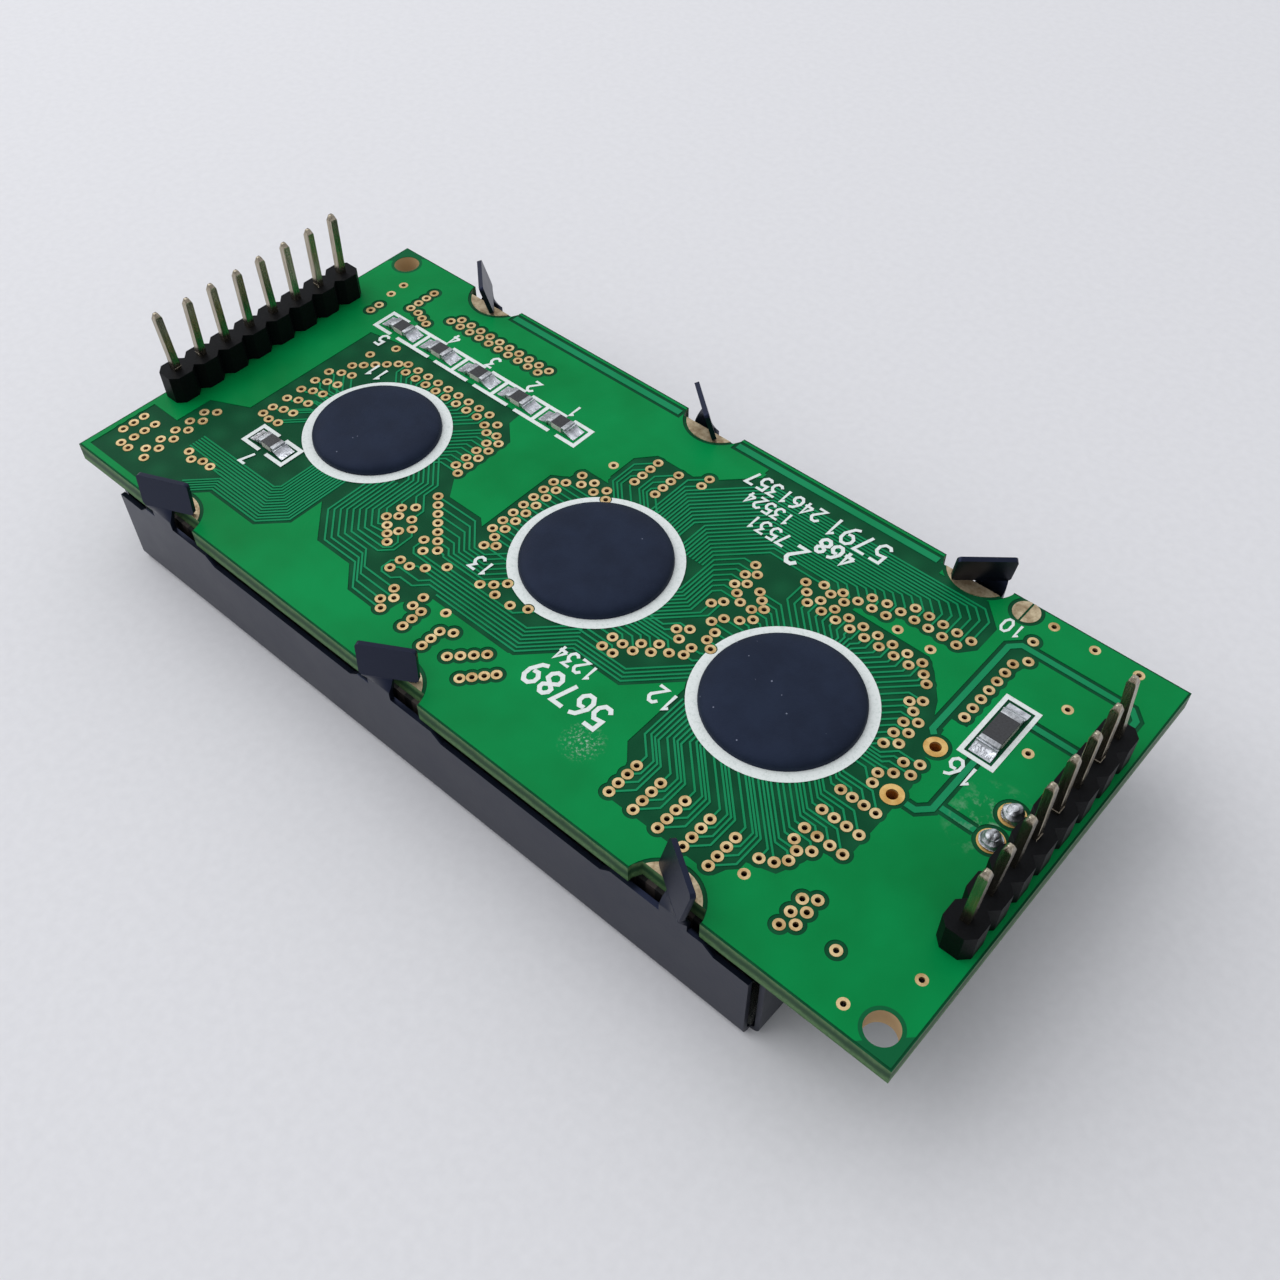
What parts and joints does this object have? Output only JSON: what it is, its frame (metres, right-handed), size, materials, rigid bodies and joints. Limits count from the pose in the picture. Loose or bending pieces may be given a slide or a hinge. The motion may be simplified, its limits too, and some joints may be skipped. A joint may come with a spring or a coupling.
{
  "type": "character lcd module",
  "caption": "Character display module seen from its driver board: folded steel bezel with twisted tabs, epoxy-covered chips, two pin headers and an edge-lit liquid crystal cell.",
  "frame": {"origin": "under the centre of the driver board, in the plane of the bezel's front face", "axes": "+X along the board from the left header to the right header, +Y across the board, +Z from the display face to the rear of the board"},
  "size_m": [0.08, 0.0379, 0.0177],
  "materials": {
    "board": "glass-epoxy laminate with solder mask",
    "mask_on_copper": "green solder mask over copper",
    "mask_on_trace": "green solder mask over fine copper",
    "gold_copper": "thin gold plating",
    "satin_gold": "satin gold plating",
    "white_print": "screen-printed ink",
    "bezel_steel": "satin blue-black coated steel",
    "epoxy": "satin black epoxy",
    "silicon": "polished die",
    "resistor_body": "glazed ceramic",
    "solder": "bright tin-lead",
    "header_plastic": "moulded black nylon",
    "pin_metal": "tinned brass",
    "cell_glass": "float glass",
    "polarizer": "yellow-green film",
    "seal": "epoxy bead",
    "zebra_rubber": "silicone with carbon layers",
    "white_plastic": "moulded white plastic",
    "clear_acrylic": "clear acrylic",
    "lamp": "phosphor under clear resin"
  },
  "bodies": {
    "root": {"backlight_frame": "white_plastic", "backlight_leads": "pin_metal", "backlight_solder": "solder", "bezel": "bezel_steel", "cell_seal": "seal", "copper_pour": "mask_on_copper", "copper_traces": "mask_on_trace", "die_1": "silicon", "die_2": "silicon", "die_3": "silicon", "diffuser": "white_plastic", "front_glass": "cell_glass", "front_polarizer": "polarizer", "glob_1": "epoxy", "glob_2": "epoxy", "glob_3": "epoxy", "ground_lands": "satin_gold", "header_body_left": "header_plastic", "header_body_right": "header_plastic", "header_solder": "solder", "jumper_lands": "satin_gold", "led_strip": "white_plastic", "leds": "lamp", "light_guide": "clear_acrylic", "pcb": "board", "pin_left_1": "pin_metal", "pin_left_2": "pin_metal", "pin_left_3": "pin_metal", "pin_left_4": "pin_metal", "pin_left_5": "pin_metal", "pin_left_6": "pin_metal", "pin_left_7": "pin_metal", "pin_left_8": "pin_metal", "pin_right_1": "pin_metal", "pin_right_2": "pin_metal", "pin_right_3": "pin_metal", "pin_right_4": "pin_metal", "pin_right_5": "pin_metal", "pin_right_6": "pin_metal", "pin_right_7": "pin_metal", "pin_right_8": "pin_metal", "plated_holes": "gold_copper", "rear_glass": "cell_glass", "rear_polarizer": "polarizer", "reflector": "white_plastic", "resistor_1": "resistor_body", "resistor_2": "resistor_body", "resistor_3": "resistor_body", "resistor_4": "resistor_body", "resistor_5": "resistor_body", "resistor_6": "resistor_body", "resistor_caps": "solder", "resistor_f": "resistor_body", "resistor_solder": "solder", "silkscreen": "white_print", "via_barrels": "gold_copper", "zebra_lower": "zebra_rubber", "zebra_upper": "zebra_rubber"}
  },
  "joints": []
}
